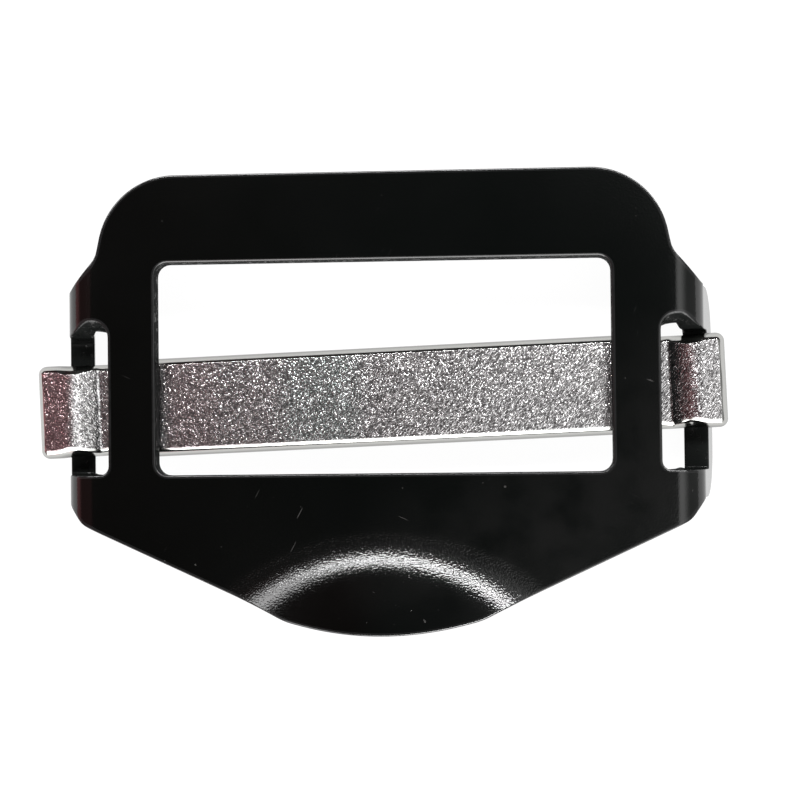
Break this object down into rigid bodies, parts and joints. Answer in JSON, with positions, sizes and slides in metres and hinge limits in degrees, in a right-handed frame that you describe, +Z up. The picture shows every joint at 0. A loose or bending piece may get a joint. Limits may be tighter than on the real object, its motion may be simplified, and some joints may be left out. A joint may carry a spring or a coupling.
{
  "type": "adjuster buckle",
  "caption": "Stamped steel webbing adjuster buckle: a black frame with bent sides and a raised thumb lip, and a flat plated bar that slides in its side slots.",
  "frame": {"origin": "on the surface that the buckle lies on, below the middle of its outline", "axes": "+X along the slide bar, +Y from the thumb lip to the upper cross member, +Z up out of the front face"},
  "size_m": [0.071, 0.0467, 0.0135],
  "materials": {
    "black_coat": "semi-gloss black coat with a fine orange-peel grain",
    "plated_steel": "bright plating over a rough, grained strip"
  },
  "bodies": {
    "frame": {"frame": "black_coat"},
    "slide_bar": {"slide_bar": "plated_steel"}
  },
  "joints": [
    {"name": "bar_slide", "type": "slide", "parent": "frame", "child": "slide_bar", "axis": [0, 1, 0], "range_m": [-0.0018, 0.0004]}
  ]
}
